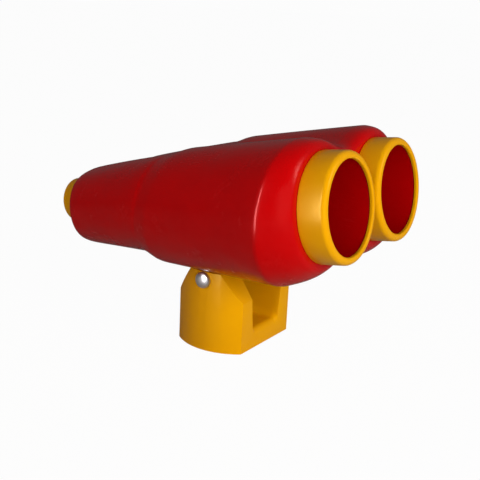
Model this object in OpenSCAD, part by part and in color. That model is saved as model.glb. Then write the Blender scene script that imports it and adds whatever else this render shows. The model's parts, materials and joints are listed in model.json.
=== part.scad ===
// Playground binoculars: a hollow moulded two-barrel head on a swivelling yoke.
// Origin: centre of the base plate's underside, on the swivel axis.
// +Y is the way the user looks, +X is the user's right, +Z is up.

/* [Head] */
// Distance between the two barrel axes
barrel_spacing = 113; // [112:1:118]
// Length from the eyepiece rims to the front rims
head_length = 353; // [345:1:360]
// Radius of the large barrel at its front
barrel_front_r = 70.5; // [68:0.5:71]
// Radius of the large barrel at its step
barrel_step_r = 62; // [60:0.5:63]
// Radius of the small barrel at its step
small_step_r = 52.5; // [50:0.5:54]
// Radius of the small barrel at its rear
small_rear_r = 43; // [41:0.5:46]
// Distance between the middles of the two moulded barrels
moulding_spacing = 120; // [114:1:124]
// Rake of the large barrels' step, forward for each unit of height
rake = 0.14; // [0:0.01:0.2]
// Wall thickness of the moulded head
wall = 3.5; // [3:0.25:4.5]

/* [Objective rings] */
// Radius of the opening
ring_open_r = 46.5; // [45:0.5:46.5]
// Outer radius of the ring
ring_r = 54.5; // [53:0.5:55]
// How far the ring stands in front of the head
ring_length = 28.5; // [26:0.5:30]

/* [Eyepieces] */
// Outer radius of the eyepiece
eye_r = 25.5; // [24:0.5:28]
// Radius of the clear opening
eye_open_r = 20; // [18:0.5:21]
// How far the eyepiece stands behind the head
eye_length = 22; // [20:0.5:25]

/* [Tilt hinge] */
// Height of the tilt bolt above the base
pivot_h = 80; // [78:0.5:83]
// Height of the barrel axes above the tilt bolt
axis_up = 81; // [80:0.5:83]
// Distance from the tilt bolt to the front rims
front_reach = 175; // [170:1:180]
// Nose-up tilt of the head as built
rest_tilt = 8; // [0:0.5:9]
// Diameter of the tilt bolt's shank
bolt_d = 8; // [7.8:0.1:8.2]
// Diameter of the tilt bolt's domed head
bolt_head_d = 18; // [17:0.5:18.5]

/* [Yoke] */
// Radius of the yoke's round plan
yoke_r = 63.5; // [62:0.5:65]
// Depth of the yoke, front to back
yoke_depth = 83; // [80:1:86]
// Width of the slot between the two ears
slot_w = 60; // [59:0.5:62]
// Height of the slot's floor
floor_h = 22; // [20:0.5:24]
// Height of the ears above the tilt bolt
ear_up = 9; // [8:0.5:10]

/* [Swivel base] */
// Radius of the base plate
plate_r = 34; // [33:0.5:34.5]
// Thickness of the base plate
plate_t = 6; // [6:0.5:7]
// Diameter of the swivel bolt's shank
swivel_d = 10; // [9.8:0.1:10.2]
// Diameter of the screw circle in the base plate
screw_circle_d = 54; // [52:1:56]
// Diameter of each screw hole
screw_hole_d = 5.5; // [4.5:0.5:6]

/* [Hidden] */
$fn = 96;
eps = 0.02;
fit = 0.05;
gap = 0.4;
spin_half = barrel_spacing / 2;
mould_half = moulding_spacing / 2;

// Stations along the head, measured forward from the tilt bolt
face_y = front_reach - ring_length;
corner_y = face_y + 2;
shoulder_y = face_y - 28;
large_y = -19;
small_y = -37;
rear_y = front_reach - head_length + eye_length;
body_drop = 4;
rear_drop = 1.5;
corner_r = 66;
nose_round = 14;
step_round = 8;
rear_round = 15;

// Neck inside each ring, and the ring's lip in front of it
neck_r = 50.5;
neck_flange_r = 51.7;
neck_flange_t = 2.5;
neck_in = 25;
lip_t = 4;

// Eyepiece spigots, and the windows that they hold
ring_bevel = 2;
eye_spigot_r = 23;
eye_spigot_len = 12;
eye_window_r = eye_spigot_r - 1.5;
eye_window_t = 2;

// Hinge lug under the head, with its sleeve and washers
washer_t = 1.6;
washer_r = 13;
lug_half = slot_w / 2 - washer_t - gap;
lug_tip_r = 14;
sleeve_r = 6;
bolt_r = bolt_d / 2;

// Yoke
plate_lift = 0.5;
yoke_half_d = yoke_depth / 2;
skirt_t = 4;
slot_foot = 5;
slot_flare = 36;
ear_top_half = 19.5;
chamfer_drop = 31;
floor_under = plate_t + gap;
recess_r = plate_r + 1;
bush_r = 8;
bush_flange_r = 15;
bush_flange_t = 2;
thrust_r = 24;
neck_w = bolt_d;
neck_len = 5;
nut_af = 13;
nut_t = 8;
nut_pocket_r = 8.2;
nut_pocket_len = 14;

// Swivel bolt and nut
swivel_r = swivel_d / 2;
swivel_head_af = 17;
swivel_head_t = 4;
swivel_nut_af = 17;
swivel_nut_t = 10;
swivel_washer_r = 15;
swivel_washer_t = 2;

// Places its children on the head, whose own origin is the tilt bolt
module on_head() {
    translate([0, 0, pivot_h]) rotate([rest_tilt, 0, 0]) children();
}

// Turns a shape that is built up +Z to lie forward along +Y, on one barrel axis
module on_barrel(side) {
    on_head() translate([side * spin_half, 0, axis_up]) rotate([-90, 0, 0]) children();
}

// Cylinder along +X from x0 to x1
module along_x(r, x0, x1, sides = $fn) {
    translate([x0, 0, 0]) rotate([0, 90, 0]) cylinder(r = r, h = x1 - x0, $fn = sides);
}

// Tube that stands on z0, up to z1
module tube(r_out, r_in, z0, z1) {
    translate([0, 0, z0]) difference() {
        cylinder(r = r_out, h = z1 - z0);
        translate([0, 0, -1]) cylinder(r = r_in, h = z1 - z0 + 2);
    }
}

// Points of a quarter round from angle a0 to a1 about (cx, cy)
function arc(cx, cy, r, a0, a1, n = 6) =
    [for (i = [0:n]) let (a = a0 + (a1 - a0) * i / n) [cx + r * cos(a), cy + r * sin(a)]];

// Half outline of a small barrel, as (radius, distance forward), shrunk by t for the inside
function small_outline(t) = concat(
    [[0, rear_y + t]],
    arc(small_rear_r - rear_round, rear_y + rear_round, rear_round - t, -90, 0, 4),
    [[small_step_r - t, small_y], [small_step_r - t, large_y + step_round], [0, large_y + step_round]]
);

// Half outline of a large barrel, in the same form
function large_outline(t) = concat(
    [[0, small_y + t], [small_step_r - 6 - t, small_y + t]],
    arc(barrel_step_r - step_round, large_y, step_round - t, -50, 0, 3),
    arc(barrel_front_r - 16, shoulder_y, 16 - t, 0, 24, 2),
    arc(corner_r - nose_round, corner_y - nose_round, nose_round - t, 24, 80, 4),
    [[corner_r - nose_round, corner_y + nose_round - t], [0, corner_y + nose_round - t]]
);

// Upper side outlines of the bridge between the barrels, as (distance forward, half height)
function small_bridge(t) = [
    [rear_y + 5 + t, 24 - t], [rear_y + 12 + t, 33 - t], [small_y, 41 - t], [large_y, 42 - t]
];
function large_bridge(t) = [
    [small_y + t, 38 - t], [large_y, 50 - t], [shoulder_y, 57 - t], [corner_y - t, 50 - t]
];

module barrel_pair(outline) {
    for (side = [-1, 1]) translate([side * mould_half, 0, 0]) rotate([-90, 0, 0])
        rotate_extrude($fn = 48) polygon(outline);
}

module bridge_solid(upper) {
    lower = [for (i = [len(upper) - 1:-1:0]) [upper[i].x, -upper[i].y]];
    translate([-mould_half, 0, 0]) rotate([90, 0, 90])
        linear_extrude(moulding_spacing) polygon(concat(upper, lower));
}

// Both pairs of barrels with their bridge, the large pair raked forward and cut square in front
module moulding(t) {
    translate([0, 0, axis_up - body_drop]) {
        translate([0, 0, -rear_drop]) {
            barrel_pair(small_outline(t));
            bridge_solid(small_bridge(t));
        }
        intersection() {
            multmatrix([[1, 0, 0, 0], [0, 1, rake, 0], [0, 0, 1, 0]]) {
                barrel_pair(large_outline(t));
                bridge_solid(large_bridge(t));
            }
            translate([-head_length, -head_length, -axis_up])
                cube([2 * head_length, head_length + face_y - t, 2 * axis_up]);
        }
    }
}

// Side outline of the hinge lug, shrunk by t for the inside
module lug_outline(t) {
    union() {
        circle(r = lug_tip_r - t);
        polygon([
            [-lug_tip_r + t, 0], [lug_tip_r - t, 0],
            [30 - t, axis_up - body_drop - 46], [-30 + t, axis_up - body_drop - 46]
        ]);
    }
}

module lug_solid(half_w, t) {
    translate([-half_w, 0, 0]) rotate([90, 0, 90]) linear_extrude(2 * half_w) lug_outline(t);
}

// Cylinder about both barrel axes, from y0 forward to y1 in head coordinates
module on_both_axes(r, y0, y1) {
    for (side = [-1, 1]) translate([side * spin_half, y0, axis_up]) rotate([-90, 0, 0])
        cylinder(r = r, h = y1 - y0);
}

module body_shell() {
    color("crimson") on_head() difference() {
        union() {
            difference() {
                union() {
                    moulding(0);
                    lug_solid(lug_half, 0);
                }
                moulding(wall);
                lug_solid(lug_half - wall, wall);
            }
            along_x(sleeve_r + wall, -lug_half + 1, lug_half - 1);
        }
        along_x(sleeve_r + fit, -lug_half - 1, lug_half + 1);
        on_both_axes(neck_r + fit, face_y - 2 * wall, front_reach);
        on_both_axes(eye_spigot_r + fit, rear_y - wall, rear_y + 2 * wall);
    }
}

module tilt_sleeve() {
    color("silver") on_head() difference() {
        along_x(sleeve_r, -lug_half, lug_half);
        along_x(bolt_r + fit, -lug_half - 1, lug_half + 1);
    }
}

module friction_washer(side) {
    x0 = side > 0 ? lug_half : -lug_half - washer_t;
    color("dimgray") on_head() difference() {
        along_x(washer_r, x0, x0 + washer_t);
        along_x(bolt_r + fit, x0 - 1, x0 + washer_t + 1);
    }
}

// Flanged neck in the front of the head
module objective_neck(side) {
    back = face_y - wall - neck_flange_t;
    color("crimson") on_barrel(side) rotate_extrude() polygon([
        [neck_r - wall, back - neck_in], [neck_r, back - neck_in], [neck_r, back], [neck_flange_r, back],
        [neck_flange_r, face_y - wall], [neck_r, face_y - wall],
        [neck_r, front_reach - lip_t - gap], [neck_r - wall, front_reach - lip_t - gap]
    ]);
}

// Sleeve over the neck, with a lip round the opening
module objective_ring(side) {
    color("gold") on_barrel(side) rotate_extrude() polygon(concat(
        [[neck_r + fit, face_y], [ring_r, face_y]],
        arc(ring_r - ring_bevel, front_reach - ring_bevel, ring_bevel, 0, 90),
        arc(ring_open_r + 1.5, front_reach - 1.5, 1.5, 90, 180, 3),
        [[ring_open_r, front_reach - lip_t], [neck_r + fit, front_reach - lip_t]]
    ));
}

module eyepiece_ring(side) {
    rim = front_reach - head_length;
    seat = rear_y + eye_spigot_len;
    color("goldenrod") on_barrel(side) rotate_extrude() polygon(concat(
        [[eye_spigot_r, seat], [eye_spigot_r, rear_y], [eye_r, rear_y]],
        arc(eye_r - ring_bevel, rim + ring_bevel, ring_bevel, 0, -90),
        arc(eye_open_r + 1, rim + 1, 1, -90, -180, 3),
        [
            [eye_open_r, seat - eye_window_t - 1],
            [eye_window_r, seat - eye_window_t - 1], [eye_window_r, seat]
        ]
    ));
}

module eyepiece_window(side) {
    color("lightcyan", 0.4) on_barrel(side)
        translate([0, 0, rear_y + eye_spigot_len - eye_window_t - 1])
        cylinder(r = eye_window_r, h = eye_window_t);
}

// Side outline of the yoke: flat tops to the ears, chamfered towards the front and the rear
module ear_profile() {
    top = pivot_h + ear_up;
    polygon([
        [-yoke_half_d, plate_lift], [yoke_half_d, plate_lift],
        [yoke_half_d, top - chamfer_drop], [ear_top_half, top],
        [-ear_top_half, top], [-yoke_half_d, top - chamfer_drop]
    ]);
}

// Front outline of the slot between the ears, narrower at its floor
module slot_profile() {
    half = slot_w / 2;
    polygon([
        [slot_foot - half, floor_h], [half - slot_foot, floor_h],
        [half, floor_h + slot_flare], [half, 2 * pivot_h],
        [-half, 2 * pivot_h], [-half, floor_h + slot_flare]
    ]);
}

module yoke_bracket() {
    ear_in = slot_w / 2;
    pocket_x = ear_in + skirt_t;
    color("gold") difference() {
        union() {
            difference() {
                intersection() {
                    cylinder(r = yoke_r, h = 2 * pivot_h);
                    translate([-yoke_r, 0, 0]) rotate([90, 0, 90])
                        linear_extrude(2 * yoke_r) ear_profile();
                }
                translate([0, yoke_r, 0]) rotate([90, 0, 0])
                    linear_extrude(2 * yoke_r) slot_profile();
                // Hollow underside of each ear, inside the recess for the base plate
                for (side = [-1, 1]) intersection() {
                    cylinder(r = yoke_r - skirt_t, h = pivot_h - 14);
                    translate([side > 0 ? pocket_x : -yoke_r, 2 - yoke_half_d + skirt_t, -1])
                        cube([yoke_r - pocket_x, yoke_depth - 2 * skirt_t - 4, floor_h + 23]);
                }
            }
            translate([0, 0, pivot_h]) for (side = [-1, 1])
                along_x(12, side > 0 ? ear_in : -pocket_x - 18, side > 0 ? pocket_x + 18 : -ear_in);
        }
        // Recess for the base plate, and the bore for the swivel bush
        translate([0, 0, -1]) cylinder(r = recess_r, h = floor_under + 1);
        cylinder(r = bush_r, h = floor_h + 1);
        // Bore for the tilt bolt, with its square neck and the pocket for its nut
        translate([0, 0, pivot_h]) {
            along_x(bolt_r + 0.15, -yoke_r - 1, yoke_r + 1);
            translate([yoke_r - neck_len - 1, -neck_w / 2, -neck_w / 2])
                cube([neck_len + 2, neck_w, neck_w]);
            along_x(nut_pocket_r, -yoke_r - 1, -yoke_r + nut_pocket_len);
        }
    }
}

module swivel_plate() {
    color("silver") difference() {
        cylinder(r = plate_r, h = plate_t);
        translate([0, 0, -1]) cylinder(r = swivel_r, h = plate_t + 2);
        translate([0, 0, -1]) cylinder(r = swivel_head_af / sqrt(3) + 0.6, h = swivel_head_t + 1.3);
        for (i = [0:3]) rotate(45 + 90 * i) translate([screw_circle_d / 2, 0, -1])
            cylinder(r = screw_hole_d / 2, h = plate_t + 2);
    }
}

module swivel_bolt() {
    nut_top = floor_h + bush_flange_t + gap + swivel_washer_t + swivel_nut_t;
    color("silver") {
        translate([0, 0, 0.3]) cylinder(r = swivel_head_af / sqrt(3), h = swivel_head_t, $fn = 6);
        translate([0, 0, 0.3 + swivel_head_t - eps]) cylinder(r = swivel_r, h = nut_top - swivel_head_t + 2);
    }
}

module swivel_washer() {
    z0 = floor_h + bush_flange_t + gap;
    color("silver") tube(swivel_washer_r, swivel_r + fit, z0, z0 + swivel_washer_t);
}

module swivel_lock_nut() {
    z0 = floor_h + bush_flange_t + gap + swivel_washer_t;
    color("silver") translate([0, 0, z0]) difference() {
        union() {
            cylinder(r = swivel_nut_af / sqrt(3), h = swivel_nut_t - 2, $fn = 6);
            cylinder(r = swivel_nut_af / 2 - 0.5, h = swivel_nut_t);
        }
        translate([0, 0, -1]) cylinder(r = swivel_r, h = swivel_nut_t + 2);
    }
}

module swivel_bush() {
    color("white") {
        difference() {
            union() {
                translate([0, 0, floor_under]) cylinder(r = bush_r, h = floor_h - floor_under + eps);
                translate([0, 0, floor_h]) cylinder(r = bush_flange_r, h = bush_flange_t);
            }
            cylinder(r = swivel_r + fit, h = 2 * floor_h);
        }
    }
}

// Plastic washer on which the yoke turns, between it and the base plate
module thrust_washer() {
    color("white") tube(thrust_r, bush_r + 3, plate_t + fit, floor_under);
}

module tilt_bolt() {
    head_side = 2.6;
    dome_h = 3.4;
    dome_r = (pow(bolt_head_d / 2, 2) + pow(dome_h, 2)) / (2 * dome_h);
    dome_angle = asin(bolt_head_d / 2 / dome_r);
    color("silver") translate([0, 0, pivot_h]) {
        // Domed head with a straight side
        translate([yoke_r, 0, 0]) rotate([0, 90, 0]) rotate_extrude()
            polygon(concat(
                [[0, 0], [bolt_head_d / 2, 0]],
                arc(0, head_side + dome_h - dome_r, dome_r, 90 - dome_angle, 90, 8)
            ));
        translate([yoke_r - neck_len, -neck_w / 2, -neck_w / 2])
            cube([neck_len + eps, neck_w, neck_w]);
        along_x(bolt_r, -yoke_r + 1.5, yoke_r);
    }
}

module tilt_nut_washer() {
    x1 = -yoke_r + nut_pocket_len;
    color("silver") translate([0, 0, pivot_h]) difference() {
        along_x(8, x1 - 1.6, x1);
        along_x(bolt_r + fit, x1 - 3, x1 + 1);
    }
}

module tilt_lock_nut() {
    x1 = -yoke_r + nut_pocket_len - 1.6;
    color("silver") translate([0, 0, pivot_h]) difference() {
        union() {
            along_x(nut_af / sqrt(3), x1 - nut_t + 1.5, x1, 6);
            along_x(nut_af / 2 - 0.4, x1 - nut_t, x1);
        }
        along_x(bolt_r, x1 - nut_t - 1, x1 + 1);
    }
}

// Push-in plastic cap that closes the nut's pocket
module tilt_nut_cap() {
    cap_plug = 5.2;
    color("gold") translate([0, 0, pivot_h]) difference() {
        union() {
            along_x(nut_pocket_r - fit, -yoke_r - eps, -yoke_r + cap_plug);
            along_x(nut_pocket_r + 1.5, -yoke_r - 1.2, -yoke_r);
        }
        along_x(nut_pocket_r - 1.6, -yoke_r + 0.4, -yoke_r + cap_plug + 1);
    }
}

swivel_plate();
swivel_bolt();
swivel_washer();
swivel_lock_nut();
swivel_bush();
thrust_washer();
yoke_bracket();
tilt_bolt();
tilt_nut_washer();
tilt_lock_nut();
tilt_nut_cap();
body_shell();
tilt_sleeve();
friction_washer(1);  // friction_washer_right
friction_washer(-1);  // friction_washer_left
objective_neck(1);  // objective_neck_right
objective_neck(-1);  // objective_neck_left
objective_ring(1);  // objective_ring_right
objective_ring(-1);  // objective_ring_left
eyepiece_ring(1);  // eyepiece_ring_right
eyepiece_ring(-1);  // eyepiece_ring_left
eyepiece_window(1);  // eyepiece_window_right
eyepiece_window(-1);  // eyepiece_window_left
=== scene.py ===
import bpy, bmesh, json, math
from mathutils import Matrix, Vector


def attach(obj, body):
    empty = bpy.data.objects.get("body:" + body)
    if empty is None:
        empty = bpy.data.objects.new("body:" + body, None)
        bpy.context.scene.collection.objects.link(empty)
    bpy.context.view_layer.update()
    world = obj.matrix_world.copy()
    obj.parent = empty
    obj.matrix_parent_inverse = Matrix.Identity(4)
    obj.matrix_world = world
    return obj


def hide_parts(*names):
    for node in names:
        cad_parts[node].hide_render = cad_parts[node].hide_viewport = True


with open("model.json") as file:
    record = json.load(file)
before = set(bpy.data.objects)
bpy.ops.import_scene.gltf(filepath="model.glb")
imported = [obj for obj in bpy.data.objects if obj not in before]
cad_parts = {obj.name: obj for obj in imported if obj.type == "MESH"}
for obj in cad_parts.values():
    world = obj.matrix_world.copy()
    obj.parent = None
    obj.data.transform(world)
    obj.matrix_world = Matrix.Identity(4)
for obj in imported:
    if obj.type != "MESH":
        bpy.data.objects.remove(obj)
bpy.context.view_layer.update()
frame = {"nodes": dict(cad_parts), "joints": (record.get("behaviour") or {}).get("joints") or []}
nodes = frame["nodes"]
mm = 0.001
hair = 0.001 * mm  # far below anything modelled
print("frame loaded:", len(nodes), "nodes")

# The head is built level about the tilt bolt, then turned to its rest angle
hinge = {"restTilt": 8.0, "axisUp": 81 * mm, "barrelX": 56.5 * mm}
tiltJoint = [joint for joint in frame["joints"] if joint["name"] == "tilt"][0]
pivot = Vector(tiltJoint["pos_m"])
headPlace = Matrix.Translation(pivot) @ Matrix.Rotation(math.radians(hinge["restTilt"]), 4, "X")
# Where a turned shape's +Z goes: up, along the tilt bolt, or along a barrel towards its ring
upright = Matrix.Identity(4)
sideways = Matrix.Translation(pivot) @ Matrix.Rotation(math.radians(90), 4, "Y")
forward = Matrix.Rotation(math.radians(-90), 4, "X")


def barrelPlace(side):
    return headPlace @ Matrix.Translation((side * hinge["barrelX"], 0, hinge["axisUp"])) @ forward


# Shader sums: a wire is one socket that takes part in Python expressions
class Wire:
    def __init__(self, recipe, socket):
        self.recipe, self.socket = recipe, socket

    def joined(self, operation, first, second, clamped=False):
        settings = {"operation": operation, "use_clamp": clamped}
        return self.recipe.add("ShaderNodeMath", settings, {0: first, 1: second})(0)

    def __add__(self, other):
        return self.joined("ADD", self, other)

    def __radd__(self, other):
        return self.joined("ADD", other, self)

    def __sub__(self, other):
        return self.joined("SUBTRACT", self, other)

    def __rsub__(self, other):
        return self.joined("SUBTRACT", other, self)

    def __mul__(self, other):
        return self.joined("MULTIPLY", self, other)

    def __rmul__(self, other):
        return self.joined("MULTIPLY", other, self)

    def clamped(self):
        return self.joined("ADD", self, 0.0, True)


# Builds the nodes of one material, or of the world
class Recipe:
    def __init__(self, owner):
        owner.use_nodes = True
        self.owner, self.tree = owner, owner.node_tree
        self.tree.nodes.clear()

    def add(self, kind, settings=None, values=None):
        node = self.tree.nodes.new(kind)
        for key, value in (settings or {}).items():
            if key == "stops":
                for element, (at, shade) in zip(node.color_ramp.elements, value):
                    element.position = at
                    element.color = (shade, shade, shade, 1)
            else:
                setattr(node, key, value)
        for key, value in (values or {}).items():
            if isinstance(value, Wire):
                self.tree.links.new(value.socket, node.inputs[key])
            else:
                node.inputs[key].default_value = value
        return lambda output: Wire(self, node.outputs[output])

    def place(self, stretch=(1, 1, 1), turn=(0, 0, 0)):
        spot = self.add("ShaderNodeTexCoord")("Object")
        values = {"Vector": spot, "Scale": stretch, "Rotation": turn}
        return self.add("ShaderNodeMapping", None, values)("Vector")

    def noise(self, perMetre, detail, roughness, stretch=(1, 1, 1), turn=(0, 0, 0)):
        return self.add("ShaderNodeTexNoise", None, {
            "Vector": self.place(stretch, turn), "Scale": perMetre, "Detail": detail,
            "Roughness": roughness})("Fac")

    def cells(self, perMetre):
        return self.add("ShaderNodeTexVoronoi", None, {"Vector": self.place(), "Scale": perMetre})

    def ramp(self, wire, stops):
        return self.add("ShaderNodeValToRGB", {"stops": stops}, {"Fac": wire})("Color")

    def mixed(self, amount, first, second):
        values = {0: amount, 6: first, 7: second}  # 6 and 7 are the colour sockets
        return self.add("ShaderNodeMix", {"data_type": "RGBA"}, values)(2)

    # Mixes two shaders by whether the camera looks straight at the surface
    def seenMixed(self, share, unseen, seen):
        looked = self.add("ShaderNodeLightPath")("Is Camera Ray")
        return self.add("ShaderNodeMixShader", None, {"Fac": looked * share, 1: unseen, 2: seen})("Shader")

    def bump(self, height, strength, distance, below=None):
        values = {"Height": height, "Strength": strength, "Distance": distance}
        if below is not None:
            values["Normal"] = below
        return self.add("ShaderNodeBump", None, values)("Normal")

    def finish(self, values):
        surface = self.add("ShaderNodeBsdfPrincipled", None, values)("BSDF")
        self.add("ShaderNodeOutputMaterial", None, {"Surface": surface})
        return self.owner


def rgb(colour):
    return (*colour, 1.0)


# Scales are in noise cells per metre and bump depths in metres
mouldingLook = {
    "rubScale": 520, "rubStretch": (1.0, 0.05, 1.0), "rubTurn": (0.3, 0.2, 0.4), "rubLevel": 0.63,
    "rubSharpness": 14, "rubRoughness": 0.2, "patchScale": 11, "patchLevel": 0.52, "patchSharpness": 9,
    "dustScale": 1500, "dustRoughness": 0.05, "sheenScale": 38, "sheenRoughness": 0.16,
    "waveDepth": 0.004, "peelDepth": 0.0004, "grainDepth": 0.00012, "rubDepth": 0.6}
redLook = {
    **mouldingLook,
    "colour": (0.50, 0.0004, 0.0012), "deepColour": (0.42, 0.0003, 0.0015), "rubColour": (0.56, 0.03, 0.035),
    "driftScale": 16, "driftAmount": 0.6, "rubAmount": 0.2, "roughness": 0.25,
    "waveScale": 34, "waveStrength": 0.25, "peelScale": 330, "peelStrength": 0.3, "grainStrength": 0.12,
    "gloss": 0.3, "glossTint": (1.0, 0.3, 0.3)}
yellowLook = {
    **mouldingLook,
    "colour": (0.80, 0.37, 0.0004), "deepColour": (0.74, 0.32, 0.0003), "rubColour": (0.84, 0.52, 0.06),
    "driftScale": 22, "driftAmount": 0.45, "rubAmount": 0.25, "roughness": 0.32,
    "waveScale": 42, "waveStrength": 0.12, "peelScale": 420, "peelStrength": 0.2, "grainStrength": 0.1,
    "gloss": 0.33, "glossTint": (1.0, 0.72, 0.2)}


# Satin moulded plastic: slow colour drift, orange peel, a few rubbed lines
def mouldedPlastic(name, look):
    recipe = Recipe(bpy.data.materials.new(name))
    drift = recipe.ramp(recipe.noise(look["driftScale"], 4, 0.6), [(0.3, 0.0), (0.7, 1.0)])
    colour = recipe.mixed(drift * look["driftAmount"], rgb(look["colour"]), rgb(look["deepColour"]))
    rubLines = recipe.noise(look["rubScale"], 2, 0.6, look["rubStretch"], look["rubTurn"])
    rubPatches = recipe.noise(look["patchScale"], 2, 0.5)
    rubs = ((rubLines - look["rubLevel"]) * look["rubSharpness"]).clamped()
    rubs = rubs * ((rubPatches - look["patchLevel"]) * look["patchSharpness"]).clamped()
    colour = recipe.mixed(rubs * look["rubAmount"], colour, rgb(look["rubColour"]))
    dust = recipe.noise(look["dustScale"], 2, 0.7)
    sheen = recipe.noise(look["sheenScale"], 3, 0.6)
    roughness = look["roughness"] + (sheen - 0.5) * look["sheenRoughness"] + rubs * look["rubRoughness"]
    roughness = roughness + (dust - 0.5) * look["dustRoughness"]
    waves = recipe.noise(look["waveScale"], 1, 0.4)
    slow = recipe.bump(waves, look["waveStrength"], look["waveDepth"])
    peel = recipe.bump(recipe.noise(look["peelScale"], 2, 0.5), look["peelStrength"], look["peelDepth"], slow)
    grain = recipe.bump(dust - rubs * look["rubDepth"], look["grainStrength"], look["grainDepth"], peel)
    return recipe.finish({
        "Base Color": colour, "Roughness": roughness, "Normal": grain, "IOR": 1.5,
        "Specular IOR Level": look["gloss"], "Specular Tint": rgb(look["glossTint"])})


zincLook = {
    "colour": (0.74, 0.75, 0.77), "dullColour": (0.52, 0.53, 0.55), "dullAmount": 0.8, "roughness": 0.36,
    "cloudScale": 160, "cloudRoughness": 0.2, "cloudDepth": 0.0003,
    "lineScale": 900, "lineStretch": (0.2, 1, 1), "lineRoughness": 0.12, "lineDepth": 0.0001}


def platedSteel(name, look):
    recipe = Recipe(bpy.data.materials.new(name))
    cloud = recipe.noise(look["cloudScale"], 3, 0.6)
    lines = recipe.noise(look["lineScale"], 2, 0.5, look["lineStretch"])
    colour = recipe.mixed(cloud * look["dullAmount"], rgb(look["colour"]), rgb(look["dullColour"]))
    roughness = look["roughness"] + (cloud - 0.5) * look["cloudRoughness"]
    roughness = roughness + (lines - 0.5) * look["lineRoughness"]
    fine = recipe.bump(lines, 0.12, look["lineDepth"], recipe.bump(cloud, 0.1, look["cloudDepth"]))
    return recipe.finish({"Base Color": colour, "Roughness": roughness, "Metallic": 1.0, "Normal": fine})


galvanisedLook = {
    "colour": (0.55, 0.57, 0.6), "flakeColour": (0.72, 0.74, 0.76), "flakeAmount": 0.5, "flakeScale": 260,
    "flakeRoughness": 0.18, "flakeDepth": 0.0002, "grimeColour": (0.3, 0.29, 0.27), "grimeAmount": 0.5,
    "grimeScale": 45, "grimeSharpness": 3, "grimeRoughness": 0.2, "roughness": 0.38, "metallic": 0.95}


def galvanisedSteel(name, look):
    recipe = Recipe(bpy.data.materials.new(name))
    flakes = recipe.cells(look["flakeScale"])
    tone = recipe.ramp(flakes("Color"), [(0.2, 0.0), (0.8, 1.0)])
    grime = recipe.noise(look["grimeScale"], 4, 0.65)
    colour = recipe.mixed(tone * look["flakeAmount"], rgb(look["colour"]), rgb(look["flakeColour"]))
    stain = ((grime - 0.5) * look["grimeSharpness"]).clamped() * look["grimeAmount"]
    roughness = look["roughness"] + tone * look["flakeRoughness"] + (grime - 0.5) * look["grimeRoughness"]
    return recipe.finish({
        "Base Color": recipe.mixed(stain, colour, rgb(look["grimeColour"])), "Roughness": roughness,
        "Metallic": look["metallic"], "Normal": recipe.bump(flakes("Distance"), 0.1, look["flakeDepth"])})


nylonLook = {
    "colour": (0.78, 0.77, 0.72), "warmColour": (0.7, 0.67, 0.58), "driftScale": 120, "roughness": 0.42,
    "driftRoughness": 0.2, "grainScale": 900, "grainDepth": 0.0001}


def naturalNylon(name, look):
    recipe = Recipe(bpy.data.materials.new(name))
    drift = recipe.noise(look["driftScale"], 3, 0.5)
    grain = recipe.noise(look["grainScale"], 2, 0.5)
    return recipe.finish({
        "Base Color": recipe.mixed(drift, rgb(look["colour"]), rgb(look["warmColour"])),
        "Roughness": look["roughness"] + (drift - 0.5) * look["driftRoughness"],
        "Normal": recipe.bump(grain, 0.1, look["grainDepth"])})


rubberLook = {
    "colour": (0.02, 0.02, 0.021), "bloomColour": (0.05, 0.05, 0.052), "bloomScale": 70, "bloomLevel": 0.4,
    "bloomSharpness": 2, "bloomRoughness": 0.25, "roughness": 0.68, "grainScale": 1400, "grainDepth": 0.0001}


def blackRubber(name, look):
    recipe = Recipe(bpy.data.materials.new(name))
    bloom = recipe.noise(look["bloomScale"], 4, 0.7)
    grain = recipe.noise(look["grainScale"], 2, 0.6)
    faded = ((bloom - look["bloomLevel"]) * look["bloomSharpness"]).clamped()
    return recipe.finish({
        "Base Color": recipe.mixed(faded, rgb(look["colour"]), rgb(look["bloomColour"])),
        "Roughness": look["roughness"] + (bloom - 0.5) * look["bloomRoughness"],
        "Normal": recipe.bump(grain, 0.25, look["grainDepth"])})


acrylicLook = {
    "colour": (0.9, 0.94, 0.95), "edgeColour": (0.82, 0.9, 0.92), "hazeScale": 60, "roughness": 0.05,
    "hazeRoughness": 0.1, "alpha": 0.14, "hazeAlpha": 0.08, "hazeDepth": 0.0002}


def clearAcrylic(name, look):
    recipe = Recipe(bpy.data.materials.new(name))
    haze = recipe.noise(look["hazeScale"], 3, 0.6)
    return recipe.finish({
        "Base Color": recipe.mixed(haze, rgb(look["colour"]), rgb(look["edgeColour"])),
        "Roughness": look["roughness"] + haze * look["hazeRoughness"],
        "Alpha": look["alpha"] + haze * look["hazeAlpha"],
        "Normal": recipe.bump(haze, 0.04, look["hazeDepth"])})


redPlastic = mouldedPlastic("redMoulding", redLook)
yellowPlastic = mouldedPlastic("yellowMoulding", yellowLook)
zincSteel = platedSteel("zincSteel", zincLook)
plateSteel = galvanisedSteel("galvanisedSteel", galvanisedLook)
whiteNylon = naturalNylon("naturalNylon", nylonLook)
washerRubber = blackRubber("blackRubber", rubberLook)
windowAcrylic = clearAcrylic("clearAcrylic", acrylicLook)
print("materials ready")


def linked(name, data):
    item = bpy.data.objects.new(name, data)
    bpy.context.scene.collection.objects.link(item)
    return item


def objectFrom(name, bm):
    mesh = bpy.data.meshes.new(name)
    bm.to_mesh(mesh)
    bm.free()
    return linked(name, mesh)


def shadeSmooth(piece, smoothAngle):
    for face in piece.data.polygons:
        face.use_smooth = True
    piece.data.set_sharp_from_angle(angle=math.radians(smoothAngle))


def addPiece(name, bm, material, body, standsFor=(), smoothAngle=40):
    piece = objectFrom(name, bm)
    piece.data.materials.append(material)
    shadeSmooth(piece, smoothAngle)
    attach(piece, body)
    if standsFor:
        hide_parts(*standsFor)
    return piece


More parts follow.
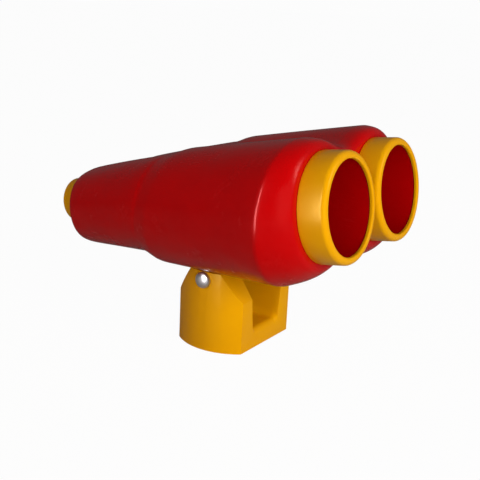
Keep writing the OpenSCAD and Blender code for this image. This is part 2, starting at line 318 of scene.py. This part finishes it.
def addCut(piece, cutter):
    cut = piece.modifiers.new(cutter.name, "BOOLEAN")
    cut.operation, cut.solver, cut.object = "DIFFERENCE", "EXACT", cutter


# Works the modifiers into the mesh, so that the cutters can go
def settle(piece, cutters):
    graph = bpy.context.evaluated_depsgraph_get()
    mesh = bpy.data.meshes.new_from_object(piece.evaluated_get(graph))
    piece.modifiers.clear()
    piece.data = mesh
    for cutter in cutters:
        bpy.data.objects.remove(cutter)


def addRod(bm, radius, start, end, place, segments=64):
    middle = Matrix.Translation((0, 0, (start + end) / 2 * mm))
    bmesh.ops.create_cone(bm, cap_ends=True, segments=segments, radius1=radius * mm, radius2=radius * mm,
                          depth=(end - start) * mm, matrix=place @ middle)


def roundOver(bm, edges, radius, segments):
    bmesh.ops.bevel(bm, geom=edges, offset=radius * mm, affect="EDGES", segments=segments,
                    profile=0.5, material=-1)


def edgeSpan(edge, axis):
    return abs(edge.verts[0].co[axis] - edge.verts[1].co[axis])


# Turns a closed outline of (radius, along, rounding) about +Z; the rounding bevels that corner first
def turned(outline, place, steps, segments):
    bm = bmesh.new()
    points = [bm.verts.new((radius * mm, 0, along * mm)) for radius, along, rounding in outline]
    bm.faces.new(points)
    for point, (radius, along, rounding) in zip(points, outline):
        if rounding:
            bmesh.ops.bevel(bm, geom=[point], offset=rounding * mm, affect="VERTICES", segments=segments,
                            profile=0.5, material=-1)
    bmesh.ops.delete(bm, geom=list(bm.faces), context="FACES_ONLY")
    bmesh.ops.spin(bm, geom=bm.verts[:] + bm.edges[:], cent=(0, 0, 0), axis=(0, 0, 1), dvec=(0, 0, 0),
                   angle=math.tau, steps=steps, use_merge=True, use_normal_flip=False, use_duplicate=False)
    bmesh.ops.remove_doubles(bm, verts=bm.verts[:], dist=hair)
    bmesh.ops.recalc_face_normals(bm, faces=bm.faces[:])
    bmesh.ops.transform(bm, matrix=place, verts=bm.verts[:])
    return bm


# Moulded head: a loft through two-barrel sections
shellShape = {
    "around": 72, "power": 2.15, "blend": 10.0, "wall": 3.5, "rim": 2.5, "smoothLevels": 2, "smoothAngle": 50,
    "leastReach": 18.0, "mostReach": 200.0, "halvings": 20,
    "openings": [(50.6, 135, 160), (23.1, -172, -146)],  # radius, start and end along each barrel
    # the web share is the web's height over the barrel's, and the rake leans a section by its height
    "stationFields": ("along", "centre", "lift", "halfWidth", "halfHeight", "webShare", "rake", "crease"),
    "stations": [
        (-157.6, 57.0, -6.2, 27.0, 27.0, 0.8, 0.0, 0.3),
        (-156.2, 57.0, -6.2, 35.0, 35.0, 0.8, 0.0, 0.4),
        (-152.0, 57.0, -6.2, 40.2, 40.2, 0.9, 0.0, 0.6),
        (-146.0, 57.0, -6.2, 41.8, 41.8, 1.0, 0.0, 0.3),
        (-96.0, 60.0, -3.1, 46.8, 47.0, 0.98, 0.1, 0.0),
        (-47.0, 63.0, 0.1, 52.0, 52.3, 0.85, 0.24, 0.8),
        (-42.0, 62.0, -0.6, 53.0, 53.3, 0.8, 0.25, 0.3),
        (-25.0, 59.4, -2.2, 59.6, 59.8, 0.8, 0.25, 0.5),
        (-18.0, 58.9, -2.4, 60.9, 61.4, 0.82, 0.25, 0.5),
        (50.0, 61.2, -3.4, 67.8, 66.8, 0.84, 0.18, 0.0),
        (117.0, 63.8, -4.7, 75.6, 71.9, 0.8, 0.135, 0.6),
        (120.5, 63.6, -4.6, 75.4, 71.9, 0.8, 0.13, 0.8),
        (132.0, 61.0, -3.6, 71.6, 69.6, 0.8, 0.1, 0.0),
        (141.0, 58.8, -2.6, 66.2, 65.6, 0.8, 0.06, 0.0),
        (146.0, 57.7, -2.1, 59.8, 59.7, 0.8, 0.02, 0.3),
        (146.5, 57.5, -2.0, 56.2, 56.0, 0.8, 0.0, 0.3)]}


# Whether a point is inside the joined outline of one barrel and the web between the two
def inSection(x, z, station, shape):
    centre, halfWidth, halfHeight = station["centre"], station["halfWidth"], station["halfHeight"]
    power = shape["power"]
    barrel = (abs((x - centre) / halfWidth) ** power + (z / halfHeight) ** power) ** (1 / power) - 1
    barrel *= min(halfWidth, halfHeight)
    web = max(x - centre, z - station["webShare"] * halfHeight)
    overlap = max(shape["blend"] - abs(barrel - web), 0) / shape["blend"]
    return min(barrel, web) - overlap * overlap * shape["blend"] / 4 < 0


# How far the outline is from the middle of the section, found by halving
def sectionReach(angle, station, shape):
    near, far = shape["leastReach"], shape["mostReach"]
    for halving in range(shape["halvings"]):
        middle = (near + far) / 2
        if inSection(abs(middle * math.cos(angle)), abs(middle * math.sin(angle)), station, shape):
            near = middle
        else:
            far = middle
    return near


def sectionPoint(angle, station, shape):
    reach = sectionReach(angle, station, shape)
    x, z = reach * math.cos(angle), reach * math.sin(angle) + station["lift"]
    return Vector((x, station["along"] + station["rake"] * z, z)) * mm + Vector((0, 0, hinge["axisUp"]))


def buildShell(shape):
    bm = bmesh.new()
    creases = bm.edges.layers.float.new("crease_edge")
    firstStation, *laterStations = [dict(zip(shape["stationFields"], row)) for row in shape["stations"]]
    ring = bmesh.ops.create_circle(bm, segments=shape["around"], radius=1.0)["verts"]
    angles = {v: math.atan2(v.co.y, v.co.x) for v in ring}
    for v in ring:
        v.co = sectionPoint(angles[v], firstStation, shape)
    rearEdges = bm.edges[:]
    for edge in rearEdges:
        edge[creases] = firstStation["crease"]
    edges = rearEdges
    for station in laterStations:
        grown = bmesh.ops.extrude_edge_only(bm, edges=edges)["geom"]
        fresh = {g for g in grown if isinstance(g, bmesh.types.BMVert)}
        for v in fresh:
            source = [e.other_vert(v) for e in v.link_edges if e.other_vert(v) not in fresh][0]
            angles[v] = angles[source]
            v.co = sectionPoint(angles[v], station, shape)
        grownEdges = [g for g in grown if isinstance(g, bmesh.types.BMEdge)]
        edges = [e for e in grownEdges if all(v in fresh for v in e.verts)]
        for edge in grownEdges:
            edge[creases] = station["crease"] if edge in edges else 0.0
    bmesh.ops.holes_fill(bm, edges=rearEdges, sides=0)
    bmesh.ops.holes_fill(bm, edges=edges, sides=0)
    caps = [f for f in bm.faces if len(f.verts) > 4]
    bmesh.ops.inset_individual(bm, faces=caps, thickness=shape["rim"] * mm, depth=0, use_even_offset=True)
    bmesh.ops.recalc_face_normals(bm, faces=bm.faces[:])
    bmesh.ops.transform(bm, matrix=headPlace, verts=bm.verts[:])
    return bm


def shellHoleCutter(shape):
    bm = bmesh.new()
    for side in (-1, 1):
        for radius, start, end in shape["openings"]:
            addRod(bm, radius, start, end, barrelPlace(side), 96)
    return objectFrom("holeCutter", bm)


shell = addPiece("headShell", buildShell(shellShape), redPlastic, "head", ["body_shell"],
                 shellShape["smoothAngle"])
smooth = shell.modifiers.new("smooth", "SUBSURF")
smooth.levels = smooth.render_levels = shellShape["smoothLevels"]
wall = shell.modifiers.new("wall", "SOLIDIFY")
wall.thickness = shellShape["wall"] * mm
wall.offset = -1
shellHoles = shellHoleCutter(shellShape)
addCut(shell, shellHoles)
settle(shell, [shellHoles])
shell.data.set_sharp_from_angle(angle=math.radians(shellShape["smoothAngle"]))
print("head shell:", len(shell.data.polygons), "faces")

# Hinge lug that hangs from the middle of the head, between the ears
lugShape = {"halfWidth": 28.0, "tipRadius": 14.0, "topHalf": 38.0, "topHeight": 37.0, "rounding": 2.5,
            "smoothAngle": 35}


def buildLug(shape):
    bm = bmesh.new()
    tip = bmesh.ops.create_circle(bm, segments=48, radius=shape["tipRadius"] * mm,
                                  matrix=Matrix.Rotation(math.radians(90), 4, "Y"))["verts"]
    lower = [v for v in tip if v.co.z < hair]
    bmesh.ops.delete(bm, geom=[v for v in tip if v not in lower], context="VERTS")
    front = max(lower, key=lambda v: v.co.y)
    rear = min(lower, key=lambda v: v.co.y)
    topFront = bm.verts.new((0, shape["topHalf"] * mm, shape["topHeight"] * mm))
    topRear = bm.verts.new((0, -shape["topHalf"] * mm, shape["topHeight"] * mm))
    for first, second in ((front, topFront), (topFront, topRear), (topRear, rear)):
        bm.edges.new((first, second))
    bmesh.ops.contextual_create(bm, geom=bm.edges[:])
    grown = bmesh.ops.extrude_face_region(bm, geom=bm.faces[:])["geom"]
    bmesh.ops.translate(bm, vec=(2 * shape["halfWidth"] * mm, 0, 0),
                        verts=[g for g in grown if isinstance(g, bmesh.types.BMVert)])
    bmesh.ops.translate(bm, vec=(-shape["halfWidth"] * mm, 0, 0), verts=bm.verts[:])
    bmesh.ops.recalc_face_normals(bm, faces=bm.faces[:])
    roundOver(bm, [e for e in bm.edges if edgeSpan(e, 0) < hair], shape["rounding"], 4)
    bmesh.ops.transform(bm, matrix=headPlace, verts=bm.verts[:])
    return bm


addPiece("hingeLug", buildLug(lugShape), redPlastic, "head", (), lugShape["smoothAngle"])
print("hinge lug done")

# Necks, rings and eyepieces are turned shapes on the two barrel axes
neckShape = {
    "outline": [(47.0, 115.5, 0.6), (50.4, 115.5, 0.6), (50.4, 170.5, 1.0), (47.0, 170.5, 1.2)],
    "segments": 5, "smoothAngle": 40}
ringShape = {
    "outline": [(50.6, 146.5, 0.5), (54.8, 146.5, 0.8), (54.3, 175.0, 5.2), (46.6, 175.0, 1.7),
                (46.3, 171.0, 0.6), (50.6, 171.0, 0.3)],
    "segments": 7, "smoothAngle": 60}
eyeShape = {
    "outline": [(23.0, -144.6, 0.3), (23.0, -157.4, 0.3), (25.5, -157.4, 0.5), (25.0, -178.0, 3.0),
                (20.0, -178.0, 1.2), (19.6, -147.6, 0.2), (21.5, -147.6, 0.2), (21.5, -144.6, 0.3)],
    "segments": 6, "smoothAngle": 60}


def onBarrel(shape, side):
    return turned(shape["outline"], barrelPlace(side), 144, shape["segments"])


for side, word in ((1, "right"), (-1, "left")):
    addPiece("neck_" + word, onBarrel(neckShape, side), redPlastic, "head",
             ["objective_neck_" + word], neckShape["smoothAngle"])
    addPiece("frontRing_" + word, onBarrel(ringShape, side), yellowPlastic, "head",
             ["objective_ring_" + word], ringShape["smoothAngle"])
    addPiece("eyeCup_" + word, onBarrel(eyeShape, side), yellowPlastic, "head",
             ["eyepiece_ring_" + word], eyeShape["smoothAngle"])
print("rings and eyepieces done")

# Yoke: round plan cut flat front and back, with a slot between two chamfered ears
yokeShape = {
    "radius": 63.5, "halfDepth": 41.5, "foot": 0.5, "top": 9.0, "topHalf": 19.5, "chamferDrop": 31.0,
    "slot": 30.0, "slotFoot": 5.0, "slotFlare": 36.0, "slotRound": 7.0, "slotLength": 180, "slotRise": 100,
    "floor": 22.0, "floorRound": 7.0, "floorSteps": 7,
    "skirt": 4.0, "hollowEnd": 52.0, "hollowInset": 6.0, "hollowRise": 20.0, "hollowRound": 5,
    "recess": 35.0, "recessHeight": 6.4, "bushBore": 8.0, "boreStart": 2.0,
    "boltBore": 4.2, "boltReach": 80.0, "nutPocket": 8.15, "nutDepth": 14.0,
    "overshoot": 4.0, "hollowOvershoot": 3.0,
    "edge": 2.0, "edgeSegments": 4, "edgeAngle": 28, "smoothAngle": 38}


def addBlock(bm, low, high, rounding):
    size = Vector(high) - Vector(low)
    middle = (Vector(high) + Vector(low)) / 2
    place = Matrix.Translation(middle * mm) @ Matrix.Diagonal((*size, 1))
    made = bmesh.ops.create_cube(bm, size=mm, matrix=place)
    corners = list({e for v in made["verts"] for e in v.link_edges if edgeSpan(e, 1) > mm})
    roundOver(bm, corners, rounding, 6)


def splitAt(bm, point, normal, clearOuter=False):
    bmesh.ops.bisect_plane(bm, geom=bm.verts[:] + bm.edges[:] + bm.faces[:], plane_co=point, plane_no=normal,
                           clear_outer=clearOuter)


def trimAt(bm, point, normal):
    splitAt(bm, point, normal, True)
    bmesh.ops.holes_fill(bm, edges=[e for e in bm.edges if e.is_boundary], sides=0)


def buildYokeBlank(shape):
    bm = bmesh.new()
    top = pivot.z / mm + shape["top"]
    addRod(bm, shape["radius"], shape["foot"], top, upright, 128)
    chamferRun = shape["halfDepth"] - shape["topHalf"]
    for end in (-1, 1):
        trimAt(bm, (0, end * shape["halfDepth"] * mm, 0), (0, end, 0))
        trimAt(bm, (0, end * shape["topHalf"] * mm, top * mm),
               Vector((0, end * shape["chamferDrop"], chamferRun)).normalized())
    bmesh.ops.recalc_face_normals(bm, faces=bm.faces[:])
    return bm


# The slot narrows towards its foot, and its floor rolls over softly into the front and rear faces
def yokeSlotCutter(shape):
    bm = bmesh.new()
    middle = Matrix.Translation((0, 0, (shape["floor"] + shape["slotRise"] / 2) * mm))
    size = Matrix.Diagonal((2 * shape["slot"], shape["slotLength"], shape["slotRise"], 1))
    bmesh.ops.create_cube(bm, size=mm, matrix=middle @ size)
    level = (shape["floor"] + shape["slotFlare"]) * mm
    splitAt(bm, (0, 0, level), (0, 0, 1))
    low = [v for v in bm.verts if v.co.z < level - mm]
    bmesh.ops.scale(bm, vec=((shape["slot"] - shape["slotFoot"]) / shape["slot"], 1, 1), verts=low)
    corners = [e for e in bm.edges if edgeSpan(e, 1) > mm and e.verts[0].co.z < level - mm]
    roundOver(bm, corners, shape["slotRound"], 8)
    curve, start = shape["floorRound"], shape["halfDepth"] - shape["floorRound"]
    for step in range(shape["floorSteps"] + 1):
        reach = start + curve * math.sin(math.radians(step * 90 / shape["floorSteps"]))
        for end in (-1, 1):
            splitAt(bm, (0, end * reach * mm, 0), (0, 1, 0))
    floorOnly = (shape["floor"] + shape["slotRound"] + 1) * mm  # just above the slot's rounded corners
    for v in bm.verts:
        past = min(max(abs(v.co.y) / mm - start, 0), curve)
        if v.co.z < floorOnly:
            v.co.z -= (curve - math.sqrt(curve * curve - past * past)) * mm
    return objectFrom("slotCutter", bm)


def yokeRecessCutter(shape):
    bm = bmesh.new()
    addRod(bm, shape["recess"], -shape["overshoot"], shape["recessHeight"], upright, 96)
    return objectFrom("recessCutter", bm)


def yokeBoreCutter(shape):
    bm = bmesh.new()
    addRod(bm, shape["bushBore"], shape["boreStart"], shape["floor"] + shape["overshoot"], upright)
    return objectFrom("boreCutter", bm)


def yokeHoleCutter(shape):
    bm = bmesh.new()
    addRod(bm, shape["boltBore"], -shape["boltReach"], shape["boltReach"], sideways)
    addRod(bm, shape["nutPocket"], -shape["boltReach"], shape["nutDepth"] - shape["radius"], sideways)
    return objectFrom("holeCutter", bm)


def yokeHollowCutter(shape):
    bm = bmesh.new()
    inner = shape["slot"] + shape["skirt"]
    deep = shape["halfDepth"] - shape["hollowInset"]
    for side in (-1, 1):
        left, right = sorted((side * inner, side * shape["hollowEnd"]))
        low = (left, -deep, -shape["hollowOvershoot"])
        high = (right, deep, shape["floor"] + shape["hollowRise"])
        addBlock(bm, low, high, shape["hollowRound"])
    return objectFrom("hollowCutter", bm)


yoke = addPiece("yoke", buildYokeBlank(yokeShape), yellowPlastic, "yoke", ["yoke_bracket"])
yokeCutters = [yokeSlotCutter(yokeShape), yokeRecessCutter(yokeShape), yokeHollowCutter(yokeShape),
               yokeBoreCutter(yokeShape), yokeHoleCutter(yokeShape)]
for cutter in yokeCutters:
    addCut(yoke, cutter)
edges = yoke.modifiers.new("edges", "BEVEL")
edges.width, edges.segments, edges.limit_method = yokeShape["edge"] * mm, yokeShape["edgeSegments"], "ANGLE"
edges.angle_limit, edges.use_clamp_overlap = math.radians(yokeShape["edgeAngle"]), True
edges.harden_normals = False
settle(yoke, yokeCutters)
shadeSmooth(yoke, yokeShape["smoothAngle"])
print("yoke:", len(yoke.data.polygons), "faces")

# Domed tilt bolt with a square neck, and the cap that closes the nut's pocket on the other side
boltShape = {
    "shank": [(0, -62, 0), (4.0, -62, 0.6), (4.0, 58.5, 0), (0, 58.5, 0)],
    "head": [(0, 63.0, 0), (9.0, 63.0, 0.25), (8.9, 66.2, 1.2), (6.6, 68.0, 2.2), (3.4, 69.2, 1.8),
             (0, 69.5, 0)],
    "squareAlong": 60.7, "squareLength": 4.8, "squareSide": 7.9, "squareRound": 0.8, "smoothAngle": 45}
capShape = {
    "outline": [(0, -60.5, 0), (6.5, -60.5, 0.5), (6.5, -57.6, 0.3), (8.0, -57.6, 0.3), (8.0, -63.6, 0.1),
                (9.6, -63.6, 0.2), (9.6, -64.7, 0.8), (0, -65.0, 0)],
    "smoothAngle": 45}


def alongBolt(outline):
    return turned(outline, sideways, 72, 4)


def buildTiltBolt(shape):
    bm = alongBolt(shape["head"])
    shank = alongBolt(shape["shank"])
    spare = bpy.data.meshes.new("shank")
    shank.to_mesh(spare)
    shank.free()
    bm.from_mesh(spare)
    bpy.data.meshes.remove(spare)
    middle = Matrix.Translation(pivot + Vector((shape["squareAlong"] * mm, 0, 0)))
    size = Matrix.Diagonal((shape["squareLength"], shape["squareSide"], shape["squareSide"], 1))
    made = bmesh.ops.create_cube(bm, size=mm, matrix=middle @ size)
    corners = list({e for v in made["verts"] for e in v.link_edges if edgeSpan(e, 0) > mm})
    roundOver(bm, corners, shape["squareRound"], 2)
    return bm


addPiece("tiltBolt", buildTiltBolt(boltShape), zincSteel, "yoke", ["tilt_bolt"],
         boltShape["smoothAngle"])
addPiece("nutCap", alongBolt(capShape["outline"]), yellowPlastic, "yoke", ["tilt_nut_cap"],
         capShape["smoothAngle"])
print("tilt bolt done")

# The rest of the hardware keeps its CAD shapes and takes on real finishes
finishes = {
    "swivel_plate": plateSteel, "swivel_bolt": zincSteel, "swivel_washer": zincSteel,
    "swivel_lock_nut": zincSteel, "swivel_bush": whiteNylon, "thrust_washer": whiteNylon,
    "tilt_nut_washer": zincSteel, "tilt_lock_nut": zincSteel, "tilt_sleeve": zincSteel,
    "friction_washer_right": washerRubber, "friction_washer_left": washerRubber,
    "eyepiece_window_right": windowAcrylic, "eyepiece_window_left": windowAcrylic}
for name, material in finishes.items():
    for materialSlot in nodes[name].material_slots:
        materialSlot.material = material
print("hardware finished")

# Floor and surround. Both show nearly white to the camera and light the object only a little
stageLook = {
    "floorColour": (0.42, 0.42, 0.42), "patchColour": (0.45, 0.45, 0.45), "patchScale": 2.5,
    "floorGlow": 1.02, "floorLift": 0.95, "floorSize": 40, "floorDrop": 0.0005,
    "skyColour": (1, 0.97, 0.97), "skyStrength": 0.12, "backdropStrength": 0.975}
white = (1, 1, 1, 1)


def buildFloor(look):
    recipe = Recipe(bpy.data.materials.new("paleFloor"))
    patches = recipe.noise(look["patchScale"], 2, 0.5)
    colour = recipe.mixed(patches, rgb(look["floorColour"]), rgb(look["patchColour"]))
    matte = recipe.add("ShaderNodeBsdfDiffuse", None, {"Color": colour})("BSDF")
    glow = recipe.add("ShaderNodeEmission", None, {"Color": white, "Strength": look["floorGlow"]})
    blend = recipe.seenMixed(look["floorLift"], matte, glow("Emission"))
    recipe.add("ShaderNodeOutputMaterial", None, {"Surface": blend})
    bm = bmesh.new()
    bmesh.ops.create_grid(bm, x_segments=2, y_segments=2, size=look["floorSize"])
    floor = objectFrom("floor", bm)
    floor.data.materials.append(recipe.owner)
    floor.location.z = -look["floorDrop"]


def buildSky(look):
    world = bpy.data.worlds.new("studio")
    bpy.context.scene.world = world
    recipe = Recipe(world)
    dimValues = {"Color": rgb(look["skyColour"]), "Strength": look["skyStrength"]}
    dim = recipe.add("ShaderNodeBackground", None, dimValues)
    bright = recipe.add("ShaderNodeBackground", None, {"Color": white, "Strength": look["backdropStrength"]})
    blend = recipe.seenMixed(1, dim("Background"), bright("Background"))
    recipe.add("ShaderNodeOutputWorld", None, {"Surface": blend})


# The first three light only the matte part of a surface, and the last two only its reflections
lights = {
    "keyLight": {"place": (0.6, 1.7, 0.62), "target": (0, 0.05, 0.13), "size": (1.5, 1.0), "power": 32,
                 "tint": (1.0, 0.98, 0.86), "inGloss": False, "inMatte": True},
    "fillLight": {"place": (1.9, -0.2, 0.8), "target": (0, 0, 0.15), "size": (1.3, 1.3), "power": 11.5,
                  "tint": (1.0, 0.86, 0.86), "inGloss": False, "inMatte": True},
    # reaches in under the head, to the front of the yoke
    "lowLight": {"place": (0.75, 1.15, 0.12), "target": (0, 0.03, 0.05), "size": (0.6, 0.22), "power": 1.4,
                 "tint": (1.0, 0.97, 0.8), "inGloss": False, "inMatte": True},
    # narrow and upright, for the bright line on the front shoulder
    "stripLight": {"place": (0.62, 0.03, 0.28), "target": (0.12, 0.12, 0.2), "size": (0.07, 0.5), "power": 7,
                   "tint": (1.0, 0.92, 0.92), "inGloss": True, "inMatte": False},
    # small and high, ahead of the rings, for the short glints on rims and edges
    "glintLight": {"place": (-0.5, 1.5, 0.95), "target": (0, 0.1, 0.15), "size": (0.35, 0.35), "power": 5,
                   "tint": (1.0, 0.98, 0.86), "inGloss": True, "inMatte": False}}


def aimed(look):
    return (Vector(look["target"]) - Vector(look["place"])).to_track_quat("-Z", "Y")


def addSoftLight(name, look):
    lamp = bpy.data.lights.new(name, "AREA")
    lamp.shape, lamp.size, lamp.size_y = "RECTANGLE", *look["size"]
    lamp.energy, lamp.color = look["power"], look["tint"]
    light = linked(name, lamp)
    light.location = look["place"]
    light.rotation_euler = aimed(look).to_euler()
    light.visible_glossy, light.visible_diffuse = look["inGloss"], look["inMatte"]


buildFloor(stageLook)
buildSky(stageLook)
for name, look in lights.items():
    addSoftLight(name, look)

viewShape = {
    "place": (0.7599, 0.4927, 0.3648), "target": (0.2420, 0.1588, 0.1919), "lean": 2.68, "lens": 63.5,
    "sensor": 36, "nearest": 0.05, "farthest": 100}
cameraData = bpy.data.cameras.new("camera")
cameraData.lens, cameraData.sensor_width = viewShape["lens"], viewShape["sensor"]
cameraData.clip_start, cameraData.clip_end = viewShape["nearest"], viewShape["farthest"]
camera = linked("camera", cameraData)
camera.matrix_world = (Matrix.Translation(viewShape["place"]) @ aimed(viewShape).to_matrix().to_4x4()
                       @ Matrix.Rotation(math.radians(viewShape["lean"]), 4, "Z"))
bpy.context.scene.camera = camera
bpy.context.scene.view_settings.view_transform = "Standard"
print("stage set")
